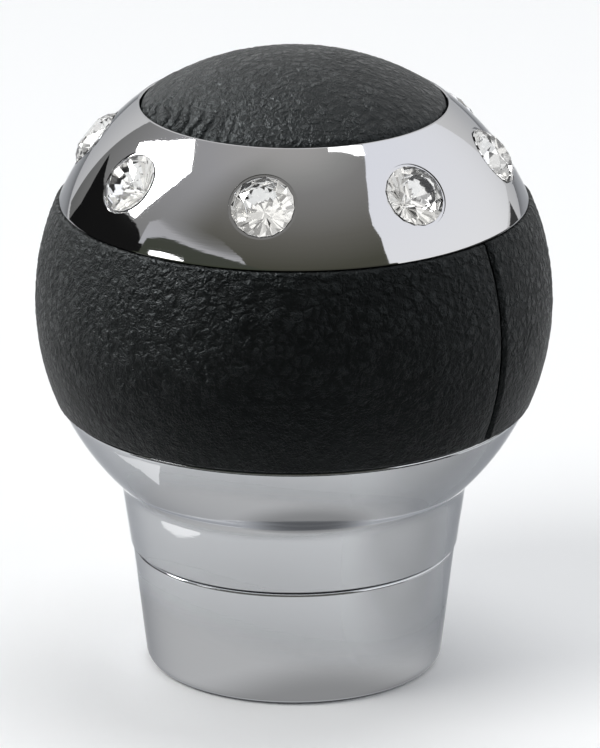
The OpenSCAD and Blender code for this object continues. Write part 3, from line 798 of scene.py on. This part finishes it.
def washer_outline():
    """Section of the washer, a flat bar with four rounded corners."""
    out_r, in_r = washer_out_r - washer_round, washer_in_r + washer_round
    high, low = washer_high.z - washer_round, washer_low.z + washer_round
    points = []
    for r, z, end in ((out_r, high, 0.5), (in_r, high, 1.0), (in_r, low, 1.5), (out_r, low, 2.0)):
        points += arc((r, z), washer_round, (end - 0.5) * math.pi, end * math.pi, 4)
    return points


washer = finish_mesh(turn_outline(washer_outline(), 180), "rubber_washer", math.radians(60))
paint(washer, speckled("rubber", 1800.0, (0.6, 0.85), {"Base Color": (0.012, 0.012, 0.013, 1)}))
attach(washer, "washer")
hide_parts("collar_washer")


# Collar: a tapered chromed cover ring that screws up the stem and hides the set screws.
# It is turned with a rounded foot, a groove for the washer and an inside thread.
collar_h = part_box("collar")[1].z
collar_r = 16.95 * MM
collar_slope = math.radians(6.6)
collar_foot_r = 1.5 * MM
collar_bore_r = 13.15 * MM
collar_mouth_r = 10.0 * MM
collar_floor_t = 2.0 * MM
collar_thread_r = 12.55 * MM
groove_gap = 0.05 * MM


def collar_outline():
    """Section of the collar, from the mouth round the foot, up the taper and over the groove."""
    slope = math.tan(collar_slope)
    shortfall = 1 - math.sin(collar_slope)
    line_r = collar_r - collar_h * slope
    touch_z = collar_foot_r * shortfall
    round_r = line_r + touch_z * slope - collar_foot_r * math.cos(collar_slope)
    top_edge = 0.3 * MM
    top_r = collar_r - top_edge * (shortfall * slope + math.cos(collar_slope))
    groove_in = washer_in_r - groove_gap
    groove_out = washer_out_r + groove_gap
    groove_z = washer_low.z - groove_gap
    return (
        [(collar_mouth_r, collar_floor_t - 0.2 * MM), (collar_mouth_r, 0.4 * MM),
         (collar_mouth_r + 0.12 * MM, 0.12 * MM), (collar_mouth_r + 0.4 * MM, 0)]
        + arc((round_r, collar_foot_r), collar_foot_r, -math.pi / 2, -collar_slope, 16)
        + arc((top_r, collar_h - top_edge), top_edge, -collar_slope, math.pi / 2, 8)
        + [(groove_out, collar_h), (groove_out, groove_z), (groove_in, groove_z),
           (groove_in, collar_h), (collar_bore_r + top_edge, collar_h),
           (collar_bore_r, collar_h - top_edge), (collar_bore_r, collar_floor_t),
           (collar_mouth_r + 0.2 * MM, collar_floor_t)])


collar = finish_mesh(turn_outline(collar_outline(), turned_steps), "collar_turned")
collar_thread = thread_ridge(
    "collar_thread", collar_bore_r, collar_thread_r, collar_floor_t + 0.8 * MM, collar_h - 1.2 * MM)
collar_chrome = chrome("collar_chrome", (0.565, 0.575, 0.59), 0.03, 0.04, 0.4)
for piece in (collar, collar_thread):
    paint(piece, collar_chrome)
    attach(piece, "collar")
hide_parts("collar")


# Studio: a plain pale table, which rides on the washer because the collar stands on it, and a white
# surround for the camera, the chrome and the glass. Cards and flags stand or lie round the knob for
# its mirrors alone, one of them only for second reflections, and soft lamps light it evenly.
world = bpy.data.worlds.new("studio")
bpy.context.scene.world = world
world.use_nodes = True
world_tree = world.node_tree
world_paint = world_tree.nodes["Background"]
feed(world_tree, world_paint, {"Color": (1, 1, 1, 1), "Strength": 1.0})
world_light = add(world_tree, "Background", {"Color": (0.95, 0.97, 1.0, 1), "Strength": 0.42})
world_path = add(world_tree, "LightPath")
world_direct = calc(
    world_tree, "MAXIMUM", (world_path, "Is Camera Ray"), (world_path, "Is Glossy Ray"))
world_seen = calc(world_tree, "MAXIMUM", world_direct, (world_path, "Is Transmission Ray"))
world_switch = add(world_tree, "MixShader", {
    0: world_seen, 1: (world_light, 0), 2: (world_paint, 0)})
feed(world_tree, world_tree.nodes["World Output"], {"Surface": (world_switch, 0)})

table_r = 2.5
table_bm = bmesh.new()
bmesh.ops.create_circle(table_bm, cap_ends=True, segments=128, radius=table_r)
table = finish_mesh(table_bm, "table")
table_paint, table_tree, table_shader = new_material("table_paint")
table_tint = add(table_tree, "Mix", {
    "Factor": (add(table_tree, "LightPath"), "Is Camera Ray"),
    "A": (0.84, 0.845, 0.85, 1), "B": (0.95, 0.955, 0.96, 1)}, data_type="RGBA")
feed(table_tree, table_shader, {
    "Base Color": (table_tint, "Result"), "Roughness": 0.9, "Specular IOR Level": 0.1})
paint(table, table_paint)
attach(table, "washer")

white = [(0.0, (1, 1, 1)), (1.0, (1, 1, 1))]
card_lift_mm = 0.4
left_side_turns = (math.radians(-45), math.radians(-80))


def towards(turn, rise, reach):
    """Place seen from the ball at a turn from the front towards +X and a rise, both in degrees."""
    turn, rise = math.radians(turn), math.radians(rise)
    flat = math.cos(rise)
    way = Vector((math.sin(turn) * flat, -math.cos(turn) * flat, math.sin(rise)))
    return ball_centre + reach * way


def bare_material(name):
    """A material without nodes, and its tree."""
    material, tree, _ = new_material(name)
    tree.nodes.clear()
    return material, tree


def glow(name, tones, strength=1.0, left_tones=None):
    """Light of a card, with tones from 0 level with the ball to 1 overhead, and others on the left.

    Each tone is a position, a colour and, if the card fades there, its opacity."""
    material, tree = bare_material(name)
    centred = add(tree, "VectorMath", {
        0: (add(tree, "TexCoord"), "Object"), 1: ball_centre}, operation="SUBTRACT")
    unit = add(tree, "VectorMath", {0: (centred, "Vector")}, operation="NORMALIZE")
    axes = add(tree, "SeparateXYZ", {"Vector": (unit, "Vector")})
    ramps = []
    for colours in (tones, left_tones or tones):
        ramp = add(tree, "ValToRGB", {"Fac": (axes, "Z")})
        while len(ramp.color_ramp.elements) < len(colours):
            ramp.color_ramp.elements.new(0.5)
        for element, (position, colour, *opacity) in zip(ramp.color_ramp.elements, colours):
            element.position = position
            element.color = (*colour, *(opacity or (1,)))
        ramps.append(ramp)
    front = calc(tree, "MULTIPLY", (axes, "Y"), -1.0)
    turn = calc(tree, "ARCTAN2", (axes, "X"), front)
    side = add(tree, "MapRange", {
        "Value": turn, "From Min": left_side_turns[0], "From Max": left_side_turns[1]},
        interpolation_type="SMOOTHSTEP")
    blend = add(tree, "Mix", {
        "Factor": (side, "Result"), "A": (ramps[0], "Color"), "B": (ramps[1], "Color")},
        data_type="RGBA")
    light = add(tree, "Emission", {"Color": (blend, "Result"), "Strength": strength})
    clear = add(tree, "BsdfTransparent")
    fade = add(tree, "MixShader", {0: (ramps[0], "Alpha"), 1: (clear, 0), 2: (light, 0)})
    add(tree, "OutputMaterial", {"Surface": (fade, 0)})
    return material


def stand(card, material, through, mirrored=True):
    """Gives a card its material and lets it be seen only in mirrors and through glass, or in one of
    them.
    """
    paint(card, material)
    card.visible_camera = False
    card.visible_diffuse = False
    card.visible_shadow = False
    card.visible_glossy = mirrored
    card.visible_transmission = through
    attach(card, "knob")


def flat_card(name, corners, reach, tones, strength, through=True):
    """A card with straight edges, whose corners are given as turns and rises."""
    bm = bmesh.new()
    bm.faces.new([bm.verts.new(towards(turn, rise, reach)) for turn, rise in corners])
    stand(finish_mesh(bm, name), glow(name, tones, strength), through)


def level_card(name, corners, height, tones, strength):
    """A card that lies level at a height, with corners in millimetres from the axis."""
    bm = bmesh.new()
    bm.faces.new([bm.verts.new(Vector((x, y, height)) * MM) for x, y in corners])
    stand(finish_mesh(bm, name), glow(name, tones, strength), False)


def pool_card(name, centre, radii, height, tone, opacity=1.0, bounced=False):
    """A round card that lies level, fading out between two radii, in millimetres from the axis.

    A bounced card shows only where one mirror shows another."""
    bm = bmesh.new()
    middle = Vector((*centre, height)) * MM
    bmesh.ops.create_circle(bm, cap_ends=True, segments=96, radius=radii[1] * MM)
    bmesh.ops.translate(bm, verts=bm.verts[:], vec=middle)
    material = glow(name, white, tone)
    tree = material.node_tree
    reach = add(tree, "VectorMath", {
        0: (add(tree, "TexCoord"), "Object"), 1: middle}, operation="DISTANCE")
    edge = add(tree, "MapRange", {
        "Value": (reach, "Value"), "From Min": radii[1] * MM, "From Max": radii[0] * MM,
        "To Max": opacity}, interpolation_type="SMOOTHSTEP")
    share = (edge, "Result")
    if bounced:
        second = calc(tree, "GREATER_THAN", (add(tree, "LightPath"), "Glossy Depth"), 1.5)
        share = calc(tree, "MULTIPLY", second, share)
    feed(tree, tree.nodes["Mix Shader"], {0: share})
    stand(finish_mesh(bm, name), material, False)


def fill_rows(bm, rows):
    """Fills in the faces between neighbouring rows of vertices."""
    for low, high in zip(rows, rows[1:]):
        for i in range(len(low) - 1):
            bm.faces.new((low[i], low[i + 1], high[i + 1], high[i]))


def curved_card(name, turns, rises, reach, material, through=True, mirrored=True):
    """A card bent round the knob, between two turns and two rises."""
    bm = bmesh.new()
    columns, levels = 48, 24
    across = [turns[0] + (turns[1] - turns[0]) * i / columns for i in range(columns + 1)]
    upward = [rises[0] + (rises[1] - rises[0]) * i / levels for i in range(levels + 1)]
    fill_rows(bm, [
        [bm.verts.new(towards(turn, rise, reach)) for turn in across] for rise in upward])
    stand(finish_mesh(bm, name), material, through, mirrored)


curved_card("front_flag", (-142, 112), (1, 89.9), 0.62, through=False, material=glow(
    "front_flag",
    [(0.0, (0.05, 0.05, 0.04)), (0.5, (0.1, 0.1, 0.078)), (0.68, (0.19, 0.185, 0.165)),
     (0.9, (0.34, 0.335, 0.33)), (0.95, (0.43, 0.43, 0.42)), (1.0, (0.58, 0.57, 0.56))], 1.0,
    [(0.0, (0.25, 0.25, 0.24)), (0.5, (0.36, 0.36, 0.36)), (0.7, (0.43, 0.43, 0.44)),
     (0.86, (0.5, 0.5, 0.515)), (1.0, (0.58, 0.57, 0.56))]))
flat_card("left_flag", [
    (-139, 16), (-136, 14), (-133, 11), (-132, 7), (-136, 0), (-125, -5), (-80, -5), (-78, 20),
    (-81, 22.5), (-86, 25), (-91, 26), (-98, 25), (-108, 23), (-126, 17.5), (-136, 16.8)],
    0.6, white, 0.012)
flat_card("left_box", [
    (-131, 30), (-122, 43), (-116, 53.5), (-101, 54), (-90, 52), (-89, 45), (-90, 38), (-93, 27),
    (-99, 26)], 0.55, white, 24.0)
flat_card("right_box", [
    (50, 6), (50, 15), (48, 26), (48, 32), (49, 37), (48, 43), (51, 49), (68, 60), (85, 64),
    (102, 66), (125, 55), (140, 38), (140, 6), (95, 6)],
    0.58, [(0.0, (1, 1, 1)), (1.0, (0.9, 0.92, 1.0))], 1.3)
curved_card("right_flag", (52, 135), (-3, 5.5), 0.55, glow("right_flag", white, 0.08), False)
flat_card("top_strip", [
    (74, 77), (84, 72), (86, 67), (90, 64.5), (101, 66), (96, 72), (87, 78)], 0.54, white, 5.0)
flat_card("streak", [
    (-83, 22), (-84, 30), (-77, 35.5), (-57, 40), (-40, 38), (-27, 33), (-24, 30.5), (-30, 29),
    (-48, 29), (-71, 27)],
    0.58, [(0.44, (0.66, 0.67, 0.7)), (0.535, (0.6, 0.6, 0.62)), (0.57, (0.4, 0.4, 0.41), 0.6),
           (0.64, (0.35, 0.35, 0.35), 0.0)], 1.0, False)
flat_card("low_flag", [
    (-82, 5), (-80, 25.5), (-71, 29.5), (-57, 31.5), (-48, 31), (-30, 30.5), (-10, 28), (-10, 5)],
    0.56, [(0.0, (0.06, 0.07, 0.045)), (0.52, (0.085, 0.092, 0.075))], 1.0, False)
flat_card("low_box", [
    (-75, 22.2), (-69, 24.3), (-61, 25.4), (-55, 25.6), (-56, 24), (-65, 21.5), (-73, 20)],
    0.4, white, 5.0)
level_card("bell_patch", [
    (-24, -10.2), (-23, -11.4), (-20.8, -15.9), (-18.1, -18.9), (-16.9, -17.3), (-15.7, -16.2),
    (-19.1, -14.75)], 22, white, 1.25)
level_card("neck_patch", [
    (-47, 0.5), (-46, -18), (-39, -28), (-35.8, -24.2), (-39.4, -12.4), (-43.4, -3.4)],
    card_lift_mm, white, 1.4)

sparkle, sparkle_tree = bare_material("stone_light")
sparkle_cells = add(sparkle_tree, "TexVoronoi", {
    "Vector": (add(sparkle_tree, "TexCoord"), "Object"), "Scale": 8.0})
sparkle_tone = add(sparkle_tree, "ValToRGB", {"Fac": (sparkle_cells, "Color")})
sparkle_tone.color_ramp.interpolation = "CONSTANT"
for position, tone in ((0.18, 0.3), (0.4, 0.62), (0.66, 1.0)):
    sparkle_tone.color_ramp.elements.new(position).color = (tone, tone, tone, 1)
sparkle_tone.color_ramp.elements[0].color = (0.03, 0.03, 0.03, 1)
sparkle_light = add(sparkle_tree, "Emission", {"Color": (sparkle_tone, "Color"), "Strength": 1.3})
add(sparkle_tree, "OutputMaterial", {"Surface": (sparkle_light, 0)})
curved_card("stone_light", (-180, 180), (-12, 89.9), 0.66, sparkle, mirrored=False)

mat_radii = (62 * MM, 620 * MM)
mat_turns = [math.radians(3.75 * i) for i in range(-21, 22)]
mat = bmesh.new()
fill_rows(mat, [
    [mat.verts.new((reach * math.sin(turn), -reach * math.cos(turn), card_lift_mm * MM))
     for turn in mat_turns] for reach in mat_radii])
stand(finish_mesh(mat, "dark_mat"), glow("dark_mat", white, 0.04), False)

# Round cards on the table that only the mirrors see: painted shade to the right, painted light
# round the foot, painted light that only second reflections show, and a painted contact shadow at
# the foot's front.
pool_card("right_shade", (46, -16), (14, 34), 0.2, 0.25, 0.4)
pool_card("foot_light", (-5, -1), (20, 29), 0.3, 0.72)
pool_card("bounce_light", (0, 0), (50, 60), card_lift_mm, 1.6, bounced=True)
pool_card("foot_shadow", (2, -10), (7, 14.5), 0.5, 0.42)


def lamp(name, turn, rise, reach, size, power, colour):
    """A soft round lamp that points at the knob and doesn't show in its mirrors."""
    data = bpy.data.lights.new(name, "AREA")
    data.shape = "DISK"
    data.size = size
    data.energy = power
    data.color = colour
    light = bpy.data.objects.new(name, data)
    light.location = towards(turn, rise, reach)
    light.rotation_euler = (light.location - ball_centre).to_track_quat("Z", "Y").to_euler()
    light.visible_glossy = False
    light.visible_transmission = False
    bpy.context.scene.collection.objects.link(light)


lamp("key", -60, 46, 0.9, 0.5, 3.6, (1.0, 0.99, 0.97))
lamp("top", 150, 76, 0.9, 0.6, 3.2, (1.0, 1.0, 1.0))
lamp("fill", 75, 40, 1.0, 0.7, 1.2, (0.96, 0.98, 1.0))

bpy.context.scene.view_settings.view_transform = "Standard"
